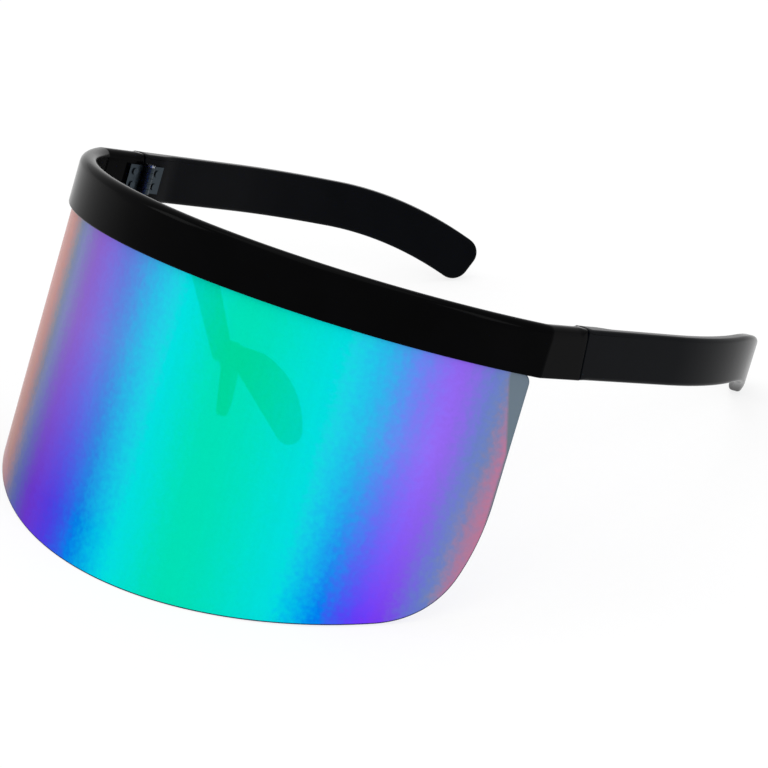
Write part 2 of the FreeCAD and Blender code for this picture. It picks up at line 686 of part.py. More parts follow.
def make_rivets(label, rivet_y):
    rivets = []
    for height in RIVET_HEIGHTS:
        shank = make_rod(f"{label}_shank", "rivet_radius", "rivet_shank",
                         ("leaf_x", rivet_y, height), ALONG_X)
        head = make_rod(f"{label}_head", "rivet_head_radius", "rivet_head_height",
                        ("rivet_head_x", rivet_y, height), ALONG_X)
        rivets.append(join(f"{label}_rivet", [shank, head]))
    return group(label, rivets)


def make_nose_screws(label):
    screws = []
    for across in ("nose_screw_x", "-nose_screw_x"):
        shank = make_rod(f"{label}_shank", "nose_screw_radius", "nose_screw_shank",
                         (across, "foot_back_y", "nose_screw_height"), TO_FRONT)
        head = make_rod(f"{label}_head", "nose_screw_head", "nose_screw_head_height",
                        (across, "nose_screw_head_y", "nose_screw_height"), TO_FRONT)
        screws.append(join(f"{label}_screw", [shank, head]))
    return group(label, screws)


def make_right_copy(piece):
    """The same piece on the wearer's right."""
    label = piece.Label.replace("left_", "right_")
    copy = doc.addObject("Part::Mirroring", label)
    copy.Source = piece
    copy.Normal = Vector(1, 0, 0)
    copy.Label = label
    return copy


bar = make_brow_bar()
lens = make_shield_lens()
nose = make_nose_bridge()
nose_screws = make_nose_screws("nose_bridge_screws")
temple = make_temple()
side_pieces = [
    temple,
    make_leaf("left_front_hinge_leaf", (0, 2, 4), "front_leaf_y", "front_web_y", "front_rivet_y"),
    make_leaf("left_temple_hinge_leaf", (1, 3), "temple_leaf_y", "joint_y", "temple_rivet_y"),
    make_hinge_screw("left_hinge_screw"),
    make_rivets("left_front_leaf_rivets", "front_rivet_y"),
    make_rivets("left_temple_leaf_rivets", "temple_rivet_y"),
]
drawn = [bar, lens, nose, nose_screws] + side_pieces
pieces = drawn + [make_right_copy(piece) for piece in side_pieces]
doc.recompute()

# Rest: the glasses stand on the lens's lower edge and the two temple tips, so the worn position is tilted
# about X until these touch the floor together. The origin is on the floor, under the middle of the whole.

EDGE_SAMPLES = 60
TILT_STEPS = 40
MOST_TILT = 60.0


def edge_points(shape):
    return [point for edge in shape.Edges for point in edge.discretize(EDGE_SAMPLES)]


def lowest(points, tilt):
    slope = math.radians(tilt)
    return min(point.z * math.cos(slope) - point.y * math.sin(slope) for point in points)


lens_points = edge_points(lens.Shape)
temple_points = edge_points(temple.Shape)
least, most = 0.0, MOST_TILT
for step in range(TILT_STEPS):
    tilt = (least + most) / 2
    if lowest(lens_points, tilt) < lowest(temple_points, tilt):
        least = tilt
    else:
        most = tilt
leaning = Placement(Vector(), Rotation(Vector(1, 0, 0), -tilt))
whole = Part.makeCompound([piece.Shape for piece in pieces])
whole.Placement = leaning
span = whole.optimalBoundingBox(False, False)
rest = Placement(Vector(0, -(span.YMin + span.YMax) / 2, -span.ZMin), leaning.Rotation)
for piece in drawn:
    piece.Placement = rest
doc.recompute()

# Checks, then one file for each piece

for thing in doc.Objects:
    if "Invalid" in thing.State or "Error" in thing.State:
        raise RuntimeError(f"{thing.Label} failed: {thing.State}")
for piece in pieces:
    if piece.Shape.isNull() or not piece.Shape.isValid():
        raise RuntimeError(f"{piece.Label} has no sound shape")
    expected = len(RIVET_HEIGHTS) if piece.Label.endswith(("rivets", "screws")) else 1
    if len(piece.Shape.Solids) != expected:
        raise RuntimeError(f"{piece.Label} has {len(piece.Shape.Solids)} solids")

os.makedirs("parts", exist_ok=True)
for piece in pieces:
    piece.Shape.exportStep(f"parts/{piece.Label}.step")

hinge_point = rest.multVec(Vector(value("axis_x"), value("joint_y"), value("bar_height") / 2))
hinge_axis = rest.Rotation.multVec(Vector(0, 0, 1))
print(f"rest tilt {tilt:.4f}, hinge point {hinge_point}, hinge axis {hinge_axis}")
print(f"rest shift {rest.Base}, whole {span.XLength:.3f} x {span.YLength:.3f} x {span.ZLength:.3f}")
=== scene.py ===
import bpy
import math
from mathutils import Color, Matrix, Vector


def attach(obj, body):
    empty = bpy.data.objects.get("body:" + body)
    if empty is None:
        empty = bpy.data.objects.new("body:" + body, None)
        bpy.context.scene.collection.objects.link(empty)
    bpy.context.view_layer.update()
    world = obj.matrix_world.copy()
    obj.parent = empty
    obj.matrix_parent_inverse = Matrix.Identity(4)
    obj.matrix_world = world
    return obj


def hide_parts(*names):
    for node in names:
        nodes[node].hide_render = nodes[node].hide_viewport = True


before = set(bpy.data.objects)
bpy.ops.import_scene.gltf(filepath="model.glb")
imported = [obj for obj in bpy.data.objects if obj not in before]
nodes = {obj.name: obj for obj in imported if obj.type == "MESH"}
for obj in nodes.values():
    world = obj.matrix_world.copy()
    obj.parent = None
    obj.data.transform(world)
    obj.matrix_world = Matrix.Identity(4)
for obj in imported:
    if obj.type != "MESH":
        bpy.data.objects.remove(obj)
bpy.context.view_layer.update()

# Brow bar
# The bar is one injection moulding in black plastic, polished in the tool, with a soft crease at each end.
# It carries everything else: the lens in its groove, the nose piece and both hinges.
millimetre = 0.001
brightest = 255


def as_seen(red, green, blue):
    """A colour given as a screen shows it, as the light values that a shader takes."""
    screen = Color((red / brightest, green / brightest, blue / brightest))
    return (*screen.from_srgb_to_scene_linear(), 1)


def start_finish(name):
    """A new finish: the material, its nodes' tree, its shader and the part's own coordinates."""
    finish = bpy.data.materials.new(name)
    finish.use_nodes = True
    tree = finish.node_tree
    shader = tree.nodes["Principled BSDF"]
    places = tree.nodes.new("ShaderNodeTexCoord").outputs["Object"]
    return finish, tree, shader, places


def join_up(tree, source, node, socket):
    """Feeds a socket from another node's output, or sets it where the source is a plain value."""
    if isinstance(source, bpy.types.NodeSocket):
        tree.links.new(source, node.inputs[socket])
    else:
        node.inputs[socket].default_value = source


def sums(tree, kind, first, second):
    """One step of arithmetic on two values."""
    node = tree.nodes.new("ShaderNodeMath")
    node.operation = kind
    join_up(tree, first, node, 0)
    join_up(tree, second, node, 1)
    return node.outputs["Value"]


def spread(tree, source, low, high, to_low, to_high):
    """A value moved from one range to another, and held inside it."""
    node = tree.nodes.new("ShaderNodeMapRange")
    join_up(tree, source, node, "Value")
    node.inputs["From Min"].default_value = low
    node.inputs["From Max"].default_value = high
    node.inputs["To Min"].default_value = to_low
    node.inputs["To Max"].default_value = to_high
    return node.outputs["Result"]


def speckle(tree, places, size, layers):
    """Cloudy variation between 0 and 1, with patches of the size given."""
    node = tree.nodes.new("ShaderNodeTexNoise")
    tree.links.new(places, node.inputs["Vector"])
    node.inputs["Scale"].default_value = 1 / size
    node.inputs["Detail"].default_value = layers
    return node.outputs["Fac"]


def blend_colours(tree, share, first, second):
    """The first colour going over to the second as the share goes from 0 to 1."""
    node = tree.nodes.new("ShaderNodeMix")
    node.data_type = "RGBA"
    join_up(tree, share, node, "Factor")
    for colour, socket in ((first, "A_Color"), (second, "B_Color")):
        target = next(s for s in node.inputs if s.identifier == socket)
        if isinstance(colour, bpy.types.NodeSocket):
            tree.links.new(colour, target)
        else:
            target.default_value = colour
    return next(s for s in node.outputs if s.identifier == "Result_Color")


def raise_surface(tree, shader, height, depth):
    """Puts fine relief on a finish: the height is from 0 to 1, and the depth is its real size."""
    node = tree.nodes.new("ShaderNodeBump")
    node.inputs["Distance"].default_value = depth
    tree.links.new(height, node.inputs["Height"])
    tree.links.new(node.outputs["Normal"], shader.inputs["Normal"])


def put_on(finish, *names):
    """Gives the finish to the nodes named."""
    for name in names:
        piece = nodes[name]
        piece.data.materials.clear()
        piece.data.materials.append(finish)


def steps_between(first, last, count):
    """The places after the first, up to and with the last."""
    return [first + (last - first) * step / count for step in range(1, count + 1)]


def fill_patch(bottom, right, top, left):
    """Rows of points that fill four sides smoothly, from the bottom side to the top one."""
    rows = []
    for row in range(len(left)):
        up = row / (len(left) - 1)
        line = []
        for column in range(len(bottom)):
            over = column / (len(bottom) - 1)
            point = bottom[column] * (1 - up) + top[column] * up
            point += left[row] * (1 - over) + right[row] * over
            low_side = bottom[0] * (1 - over) + bottom[-1] * over
            high_side = top[0] * (1 - over) + top[-1] * over
            line.append(point - low_side * (1 - up) - high_side * up)
        rows.append(line)
    return rows


def bend_sheet(name, sides, rounds, place, finishes, mirrored=False):
    """A piece made as a flat sheet with rounded edges and then bent to its shape.

    For the outer face, 0, and the inner one, 1, sides gives the bottom, right, top and left of the outline,
    the bottom and top from left to right and the other two going up. Rounds gives the rounding of each
    side, and place bends a point, from the outline of its face and its depth below it. A second finish
    is for the edge.
    """
    points, skins, edges, loops = [], [], [], []
    for face in (0, 1):
        bottom, right, top, left = sides(face)
        wide, tall = len(bottom) - 1, len(left) - 1
        outline = bottom[:-1] + right[:-1] + top[:0:-1] + left[:0:-1]
        rounding = [rounds[0]] * wide + [rounds[1]] * tall + [rounds[2]] * wide + [rounds[3]] * tall
        far_corner, last_corner = wide + tall, 2 * wide + tall
        for corner in (0, wide, far_corner, last_corner):
            rounding[corner] = (rounding[corner] + rounding[corner - 1]) / 2
        rings = []
        for turn in [0] + steps_between(0, upright, round_steps):
            ring = []
            for number, point in enumerate(outline):
                along = outline[(number + 1) % len(outline)] - outline[number - 1]
                inset = rounding[number] * (1 - math.sin(turn))
                ring.append(point + Vector((-along.y, along.x)).normalized() * inset)
            depths = [size * (1 - math.cos(turn)) for size in rounding]
            rings.append((ring, depths))
        flat, depths = rings[0]
        flat_top = flat[far_corner:last_corner + 1][::-1]
        flat_left = (flat[last_corner:] + flat[:1])[::-1]
        rows = fill_patch(flat[:wide + 1], flat[wide:far_corner + 1], flat_top, flat_left)
        numbered = []
        for row in rows:
            numbered.append(list(range(len(points), len(points) + len(row))))
            points += [place(point, face, 0) for point in row]
        for low, high in zip(numbered, numbered[1:]):
            for column in range(wide):
                quad = (low[column], low[column + 1], high[column + 1], high[column])
                skins.append(quad[::-1] if face else quad)
        around = [numbered[0][:-1] + [row[-1] for row in numbered[:-1]] + numbered[-1][:0:-1]
                  + [row[0] for row in numbered[:0:-1]]]
        for ring, depths in rings[1:]:
            around.append(list(range(len(points), len(points) + len(ring))))
            points += [place(point, face, depth) for point, depth in zip(ring, depths)]
        loops += around[::-1] if face else around
    for near, far in zip(loops, loops[1:]):
        for number in range(len(near)):
            after = (number + 1) % len(near)
            edges.append((near[number], far[number], far[after], near[after]))
    faces = [quad[::-1] for quad in skins + edges] if mirrored else skins + edges
    mesh = bpy.data.meshes.new(name)
    mesh.from_pydata([to_rest @ point for point in points], [], faces)
    mesh.polygons.foreach_set("use_smooth", [True] * len(faces))
    for finish in finishes:
        mesh.materials.append(finish)
    if len(finishes) > 1:
        mesh.polygons.foreach_set("material_index", [0] * len(skins) + [1] * len(edges))
    piece = bpy.data.objects.new(name, mesh)
    piece.modifiers.new("even_shine", "WEIGHTED_NORMAL")
    bpy.context.scene.collection.objects.link(piece)
    return piece


upright = math.radians(90)
round_steps = 5
worn_tilt = math.radians(21.1455)
worn_axis_place = Vector((0, 2.80593, 41.54411)) * millimetre
to_rest = Matrix.Translation(worn_axis_place) @ Matrix.Rotation(-worn_tilt, 4, "X")
bar_radius = 80 * millimetre
bar_height = 12.2 * millimetre
bar_thickness = 4.4 * millimetre
bar_top_round = 1.9 * millimetre
bar_low_round = 0.4 * millimetre
crease_angle = math.radians(65)
crease_round = 2.4 * millimetre
crease_fade = 5 * millimetre
end_length = 15.4 * millimetre
joint_gap = 0.3 * millimetre
joint_lean = math.radians(9.5)
bar_side_share, arm_side_share = -1 / 2, 1 / 2
joint_edge_round = 0.25 * millimetre
bar_arc_steps, crease_steps, end_steps, bar_rows = 76, 8, 8, 6
bar_side = bar_radius * math.sin(crease_angle)
joint_back = end_length - bar_radius * math.cos(crease_angle)
bar_inner_radius = bar_radius - bar_thickness
inner_side = bar_side - bar_thickness
crease_start = math.asin((bar_side - crease_round) / (bar_radius - crease_round))
crease_middle = Vector((math.sin(crease_start), -math.cos(crease_start))) * (bar_radius - crease_round)
inner_crease = math.asin(inner_side / bar_inner_radius)
inner_bend = Vector((inner_side, -bar_inner_radius * math.cos(inner_crease)))
bar_arc_run = bar_radius * crease_start
crease_run = crease_round * (upright - crease_start)


def joint_line(height, gap_share):
    """How far back the joint is at a height, on the bar's side of the gap or on the arm's."""
    return joint_back + joint_gap * gap_share + (bar_height / 2 - height) * math.tan(joint_lean)


def bar_sides(face):
    """The bar's outline, from end to end, laid flat."""
    level_sides = []
    for height in (0, bar_height):
        last = bar_arc_run + crease_run + joint_line(height, bar_side_share) - crease_middle.y
        half = [0] + steps_between(0, bar_arc_run, bar_arc_steps)
        half += steps_between(bar_arc_run, bar_arc_run + crease_run, crease_steps)
        half += steps_between(bar_arc_run + crease_run, last, end_steps)
        level_sides.append([Vector((run, height)) for run in [-run for run in half[:0:-1]] + half])
    low, high = level_sides
    right, left = ([low[end]] + steps_between(low[end], high[end], bar_rows) for end in (-1, 0))
    return low, right, high, left


def bend_bar(point, face, depth):
    """Bends a point of the flat bar round the front and round the crease before each end."""
    run = abs(point.x)
    turn = min(max(run - bar_arc_run, 0) / crease_round, upright - crease_start)
    past = max(run - bar_arc_run - crease_run, 0)
    if run <= bar_arc_run:
        outer_angle = run / bar_radius
        inner_angle = outer_angle * inner_crease / crease_start
        outer = Vector((math.sin(outer_angle), -math.cos(outer_angle))) * bar_radius
        inner = Vector((math.sin(inner_angle), -math.cos(inner_angle))) * bar_inner_radius
    else:
        heading = crease_start + turn
        outer = crease_middle + Vector((math.sin(heading), -math.cos(heading))) * crease_round
        outer += Vector((0, past))
        drift = (crease_middle - inner_bend).y * min(past / crease_fade, 1)
        creep = crease_run * turn / (upright - crease_start) / 2
        inner = inner_bend + Vector((0, past + drift + creep * (1 - min(past / crease_fade, 1))))
    share = depth / bar_thickness
    spot = outer.lerp(inner, 1 - share if face else share)
    return Vector((math.copysign(spot.x, point.x), spot.y, point.y))


bar_black = as_seen(3, 3, 3)
bar_black_paler = as_seen(6, 6, 7)
bar_cloud_size = 9 * millimetre
bar_peel_size = 1.6 * millimetre
bar_peel_depth = 0.004 * millimetre
bar_smooth = 0.10
bar_smooth_handled = 0.17
bar_gloss_share = 0.02
fine_layers = 4
few_layers = 2

bar_finish, tree, shader, places = start_finish("polished_black_moulding")
cloud = speckle(tree, places, bar_cloud_size, fine_layers)
colour = blend_colours(tree, cloud, bar_black, bar_black_paler)
tree.links.new(colour, shader.inputs["Base Color"])
tree.links.new(spread(tree, cloud, 0, 1, bar_smooth, bar_smooth_handled), shader.inputs["Roughness"])
shader.inputs["Specular IOR Level"].default_value = bar_gloss_share
raise_surface(tree, shader, speckle(tree, places, bar_peel_size, few_layers), bar_peel_depth)

bar_rounds = (bar_low_round, joint_edge_round, bar_top_round, joint_edge_round)
bar = bend_sheet("moulded_bar", bar_sides, bar_rounds, bend_bar, [bar_finish])
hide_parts("brow_bar")
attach(bar, "front")

boss_width = 13 * millimetre
boss_low, boss_top = 1.4 * millimetre, 11 * millimetre
boss_back = -74.4 * millimetre
boss_root = 1.6 * millimetre
boss_round = 0.3 * millimetre
boss_steps = 4


def boss_sides(face):
    """The outline of the flat boss behind the bar's middle, which the nose piece is screwed to."""
    half = boss_width / 2
    corners = [Vector((across, height)) for height in (boss_low, boss_top) for across in (-half, half)]
    ways = ((0, 1), (1, 3), (2, 3), (0, 2))
    return [[corners[near]] + steps_between(corners[near], corners[far], boss_steps) for near, far in ways]


def set_boss(point, face, depth):
    """Stands a point of the boss up behind the bar, its outer face to the back."""
    return Vector((-point.x, boss_back - (boss_root - depth if face else depth), point.y))


boss = bend_sheet("nose_boss", boss_sides, (boss_round,) * 4, set_boss, [bar_finish])
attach(boss, "front")

# Shield lens
# The lens is one sheet of polycarbonate, bent round a cylinder, its tab pushed up into the bar's groove.
# Its mirror coat is laid down in a vacuum, and its thickness gives the bands from green to violet and rose.
# The bands are drawn dimmer on the side turned from the camera, a painted shade, and darker toward the
# bottom, a painted reflection of the floor. A grey wedge at each upper side corner is a painted reflection
# of the room's edge.
lens_outer_radius = 78.8 * millimetre
lens_thickness = 2.0 * millimetre
lens_half_angle = math.radians(63.9)
lens_drop = 74.85 * millimetre
lens_cut_heading = math.radians(21.6)
lens_side_heading = math.radians(72)
lens_corner_radius = 23.5 * millimetre
lens_side_radius = 79 * millimetre
lens_shoulder_radius = 2.6 * millimetre
lens_top = 0.4 * millimetre
lens_edge_round = 0.3 * millimetre
slope_steps, corner_steps, side_steps, upright_steps, shoulder_steps = 52, 28, 20, 24, 10
lens_inner_radius = lens_outer_radius - lens_thickness
lens_back = -lens_inner_radius * math.cos(lens_half_angle)


def lens_sides(face):
    """The outline of the sheet on one face, as lengths round it and heights below the bar."""
    radius = lens_inner_radius if face else lens_outer_radius
    side_run = lens_side_radius * (1 - math.sin(lens_side_heading))
    corner_run = lens_corner_radius * (math.sin(lens_side_heading) - math.sin(lens_cut_heading))
    side_foot = lens_back - side_run
    corner_foot = side_foot - corner_run
    corner_height = -lens_drop + (corner_foot + lens_outer_radius) * math.tan(lens_cut_heading)
    corner_rise = lens_corner_radius * (math.cos(lens_cut_heading) - math.cos(lens_side_heading))
    end_depth = -radius * math.cos(lens_half_angle)
    end_radius = (end_depth - side_foot) / (1 - math.sin(lens_side_heading))

    def at_depth(depth, height):
        return Vector((radius * math.acos(-depth / radius), height))

    low = []
    for angle in [0] + steps_between(0, math.acos(-corner_foot / radius), slope_steps):
        depth = -radius * math.cos(angle)
        slope = (depth + lens_outer_radius) * math.tan(lens_cut_heading)
        low.append(Vector((radius * angle, slope - lens_drop)))
    for heading in steps_between(lens_cut_heading, lens_side_heading, corner_steps):
        depth = corner_foot + lens_corner_radius * (math.sin(heading) - math.sin(lens_cut_heading))
        rise = lens_corner_radius * (math.cos(lens_cut_heading) - math.cos(heading))
        low.append(at_depth(depth, corner_height + rise))
    right = [low[-1]]
    for heading in steps_between(lens_side_heading, upright, side_steps):
        depth = side_foot + end_radius * (math.sin(heading) - math.sin(lens_side_heading))
        rise = end_radius * (math.cos(lens_side_heading) - math.cos(heading))
        right.append(at_depth(depth, corner_height + corner_rise + rise))
    shoulder_foot = lens_top - lens_shoulder_radius
    upright_part = steps_between(right[-1].y, shoulder_foot, upright_steps)
    right += [Vector((right[-1].x, height)) for height in upright_part]
    for turn in steps_between(upright, 0, shoulder_steps):
        depth = end_depth - lens_shoulder_radius * (1 - math.sin(turn))
        right.append(at_depth(depth, shoulder_foot + lens_shoulder_radius * math.cos(turn)))
    other = [[Vector((-point.x, point.y)) for point in half] for half in (low, right)]
    top = [other[1][-1]] + steps_between(other[1][-1], right[-1], 2 * (len(low) - 1))
    return other[0][:0:-1] + low, right, top, other[1]


def bend_lens(point, face, depth):
    """Bends a point of the flat lens round the axis that it shares with the bar."""
    radius = lens_inner_radius if face else lens_outer_radius
    angle = point.x / radius
    radius += depth if face else -depth
    return Vector((radius * math.sin(angle), -radius * math.cos(angle), point.y))


coat_green = as_seen(0, 255, 186)
coat_turquoise = as_seen(0, 252, 234)
coat_blue = as_seen(74, 180, 252)
# A dimmer copy of the blue, a painted shade on the side turned from the camera.
coat_blue_painted_shade = as_seen(72, 173, 236)
# The darker blue, violet, slate and copper below are copies for the low part of the lens, a painted
# reflection of the floor; two of them also carry the painted shade of the side turned from the camera.
coat_blue_floor_reflection = as_seen(0, 138, 255)
coat_blue_shade_and_floor_reflection = as_seen(0, 130, 236)
coat_violet = as_seen(156, 112, 250)
coat_violet_floor_reflection = as_seen(124, 58, 248)
# A dimmer copy of the violet, a painted shade on the side turned from the camera.
coat_violet_painted_shade = as_seen(138, 102, 204)
coat_violet_shade_and_floor_reflection = as_seen(100, 44, 206)
coat_slate = as_seen(114, 138, 184)
coat_slate_warm = as_seen(130, 142, 164)
coat_slate_floor_reflection = as_seen(86, 100, 150)
coat_rose = as_seen(206, 124, 138)
coat_copper = as_seen(196, 136, 128)
coat_copper_floor_reflection = as_seen(172, 118, 110)
coat_angles = (-64, -38, -32, -21, -8, 2, 14, 32, 42, 50.6, 59.2, 64.5)
coat_angles_floor_reflection = (-64, -38, -31, -21, -8, 2, 14, 32, 40, 49, 57.1, 61)
# The blue and violet on the side turned from the camera are dimmer copies, a painted shade.
coat_bands = (coat_copper, coat_copper, coat_slate_warm, coat_violet_painted_shade, coat_blue_painted_shade, coat_turquoise,
              coat_green, coat_turquoise, coat_blue, coat_violet, coat_slate, coat_rose)
# The second set of bands is a painted reflection of the floor: darker copies laid on the low part of the
# lens.
coat_bands_floor_reflection = (coat_copper_floor_reflection, coat_copper_floor_reflection, coat_slate_floor_reflection, coat_violet_shade_and_floor_reflection, coat_blue_shade_and_floor_reflection,
                   coat_turquoise, coat_green, coat_turquoise, coat_blue_floor_reflection, coat_violet_floor_reflection,
                   coat_slate, coat_rose)
coat_drift_size = 1.3 * millimetre
coat_drift_angle = math.radians(2.5)
# Between these heights the bands go over to the darker set, a painted reflection of the floor.
floor_reflection_start = -22 * millimetre
floor_reflection_end = -64 * millimetre
coat_edge = 0.1 * millimetre
coat_grain_size = 0.7 * millimetre
coat_grain_share = 0.07
coat_streak_sizes = (1.8 * millimetre, 1.8 * millimetre, 90 * millimetre)
coat_streak_share = 0.05
coat_wave_size = 30 * millimetre
coat_wave_depth = 0.01 * millimetre
coat_smooth = 0.08
coat_smooth_hazed = 0.14
coat_metal_share = 0.3
coat_clear_share = 0.35
smoke_blue = as_seen(112, 96, 248)
# A grey wedge at each upper side corner is a painted reflection of the room's edge, laid over the coat.
room_edge_reflection_grey = as_seen(106, 124, 118)
reflection_wedge_top, reflection_wedge_foot = -1.5 * millimetre, -19 * millimetre
reflection_wedge_top_angle, reflection_wedge_foot_angle = math.radians(59.6), math.radians(63.2)
reflection_wedge_fade_angle = math.radians(0.5)
rim_navy = as_seen(16, 26, 62)
rim_grey = as_seen(92, 108, 120)
rim_navy_top, rim_navy_foot = -20 * millimetre, -45 * millimetre
rim_dark_depth = 0.3 * millimetre
rim_smooth = 0.3
smoke_clear_share = 0.9
lens_gloss_share = 0.0
lens_bend_of_light = 1.05


def hold_as_worn(tree, places):
    """The coordinates across, back and up from the lens's axis, with the glasses held level as worn."""
    straighten = tree.nodes.new("ShaderNodeMapping")
    straighten.vector_type = "TEXTURE"
    straighten.inputs["Location"].default_value = worn_axis_place
    straighten.inputs["Rotation"].default_value = (-worn_tilt, 0, 0)
    tree.links.new(places, straighten.inputs["Vector"])
    parts = tree.nodes.new("ShaderNodeSeparateXYZ")
    tree.links.new(straighten.outputs["Vector"], parts.inputs["Vector"])
    return straighten.outputs["Vector"], *parts.outputs


def from_the_axis(tree, across, depth):
    """How far a place is from the axis that the lens is bent round."""
    squares = [sums(tree, "MULTIPLY", side, side) for side in (across, depth)]
    return sums(tree, "SQRT", sums(tree, "ADD", *squares), 0)


lens_finish, tree, shader, places = start_finish("mirror_coated_lens")
as_worn, across, depth, height = hold_as_worn(tree, places)
from_axis = from_the_axis(tree, across, depth)
coated = spread(tree, from_axis, lens_outer_radius - 2 * coat_edge, lens_outer_radius - coat_edge, 0, 1)
angle = sums(tree, "ARCTAN2", across, sums(tree, "MULTIPLY", depth, -1))
drift = speckle(tree, places, coat_drift_size, fine_layers)
drift = spread(tree, drift, 0, 1, -coat_drift_angle, coat_drift_angle)
drifted = sums(tree, "ADD", angle, drift)


def lay_bands(tree, angle, degrees, colours):
    """The coat's colours over the angle round the lens, each at its own place in degrees."""
    bands = tree.nodes.new("ShaderNodeValToRGB")
    bands.color_ramp.interpolation = "CARDINAL"
    marks = bands.color_ramp.elements
    marks.remove(marks[-1])
    marks[0].color = colours[0]
    first, last = degrees[0], degrees[-1]
    for place, colour in zip(degrees[1:], colours[1:]):
        marks.new((place - first) / (last - first)).color = colour
    tree.links.new(spread(tree, angle, math.radians(first), math.radians(last), 0, 1), bands.inputs["Fac"])
    return bands.outputs["Color"]


# Painted reflection of the floor: the bands darken toward the bottom.
floor_reflection_share = spread(tree, height, floor_reflection_start, floor_reflection_end, 0, 1)
high_bands = lay_bands(tree, drifted, coat_angles, coat_bands)
floor_reflection_bands = lay_bands(tree, drifted, coat_angles_floor_reflection, coat_bands_floor_reflection)
banded = blend_colours(tree, floor_reflection_share, high_bands, floor_reflection_bands)
grain = speckle(tree, places, coat_grain_size, few_layers)
grain_share = sums(tree, "MULTIPLY", grain, coat_grain_share)
streaked = tree.nodes.new("ShaderNodeMapping")
streaked.inputs["Scale"].default_value = [1 / size for size in coat_streak_sizes]
tree.links.new(as_worn, streaked.inputs["Vector"])
streaks = speckle(tree, streaked.outputs["Vector"], 1, few_layers)
mottle = sums(tree, "ADD", grain_share, sums(tree, "MULTIPLY", streaks, coat_streak_share))
coat_colour = blend_colours(tree, mottle, banded, bar_black)
# Painted reflection: the grey wedge at each upper side corner, wide at the top and gone 19 mm down.
reflection_wedge_angle = spread(tree, height, reflection_wedge_top, reflection_wedge_foot, reflection_wedge_top_angle, reflection_wedge_foot_angle)
past_reflection_wedge = sums(tree, "SUBTRACT", sums(tree, "ABSOLUTE", angle, 0), reflection_wedge_angle)
coat_colour = blend_colours(tree, spread(tree, past_reflection_wedge, 0, reflection_wedge_fade_angle, 0, 1), coat_colour, room_edge_reflection_grey)
tree.links.new(blend_colours(tree, coated, smoke_blue, coat_colour), shader.inputs["Base Color"])
tree.links.new(spread(tree, grain, 0, 1, coat_smooth, coat_smooth_hazed), shader.inputs["Roughness"])
tree.links.new(spread(tree, coated, 0, 1, 0, coat_metal_share), shader.inputs["Metallic"])
clearness = spread(tree, coated, 0, 1, smoke_clear_share, coat_clear_share)
tree.links.new(clearness, shader.inputs["Transmission Weight"])
shader.inputs["Specular IOR Level"].default_value = lens_gloss_share
shader.inputs["IOR"].default_value = lens_bend_of_light
raise_surface(tree, shader, speckle(tree, places, coat_wave_size, few_layers), coat_wave_depth)

rim_finish, tree, shader, places = start_finish("cut_edge_of_lens")
grain = speckle(tree, places, coat_grain_size, few_layers)
as_worn, across, depth, height = hold_as_worn(tree, places)
inside_share = spread(tree, from_the_axis(tree, across, depth), lens_outer_radius - rim_dark_depth,
                      lens_outer_radius - rim_dark_depth - coat_edge, 0, 1)
deep_share = spread(tree, height, rim_navy_top, rim_navy_foot, 0, 1)
edge_colour = blend_colours(tree, deep_share, rim_grey, rim_navy)
edge_colour = blend_colours(tree, inside_share, edge_colour, smoke_blue)
edge_share = sums(tree, "MULTIPLY", grain, coat_grain_share)
tree.links.new(blend_colours(tree, edge_share, edge_colour, bar_black), shader.inputs["Base Color"])
clearness = sums(tree, "MULTIPLY", inside_share, smoke_clear_share)
tree.links.new(clearness, shader.inputs["Transmission Weight"])
shader.inputs["Roughness"].default_value = rim_smooth
shader.inputs["Specular IOR Level"].default_value = lens_gloss_share
shader.inputs["IOR"].default_value = lens_bend_of_light
raise_surface(tree, shader, grain, bar_peel_depth)

finishes = [lens_finish, rim_finish]
lens = bend_sheet("mirror_lens", lens_sides, (lens_edge_round,) * 4, bend_lens, finishes)
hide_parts("shield_lens")
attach(lens, "front")

# Nose piece
# A softer black moulding: its stem runs up behind the lens to the bar, and its two wings rest on the nose.
# Two small screws through its foot hold it to the bar.
nose_black = as_seen(20, 21, 23)
nose_black_paler = as_seen(30, 31, 33)
nose_grain_size = 0.5 * millimetre
nose_grain_depth = 0.02 * millimetre
nose_satin = 0.38
nose_satin_worn = 0.52
nose_gloss_share = 0.1

nose_finish, tree, shader, places = start_finish("satin_black_moulding")
cloud = speckle(tree, places, bar_cloud_size, fine_layers)
tree.links.new(blend_colours(tree, cloud, nose_black, nose_black_paler), shader.inputs["Base Color"])
tree.links.new(spread(tree, cloud, 0, 1, nose_satin, nose_satin_worn), shader.inputs["Roughness"])
shader.inputs["Specular IOR Level"].default_value = nose_gloss_share
raise_surface(tree, shader, speckle(tree, places, nose_grain_size, few_layers), nose_grain_depth)
put_on(nose_finish, "nose_bridge")

# Temples
# Each arm is a black moulding like the bar, bowed inward to hold the head and dropping behind the ear.
# Its outer face is polished, and its inner face keeps a finer satin from the tool.
temple_black = as_seen(4, 5, 7)
temple_inside_grey = as_seen(6, 7, 9)
temple_black_paler = as_seen(8, 10, 14)
temple_inside_paler = as_seen(11, 12, 15)
temple_smooth = 0.12
temple_inside_smooth = 0.3
temple_gloss_share = 0.02

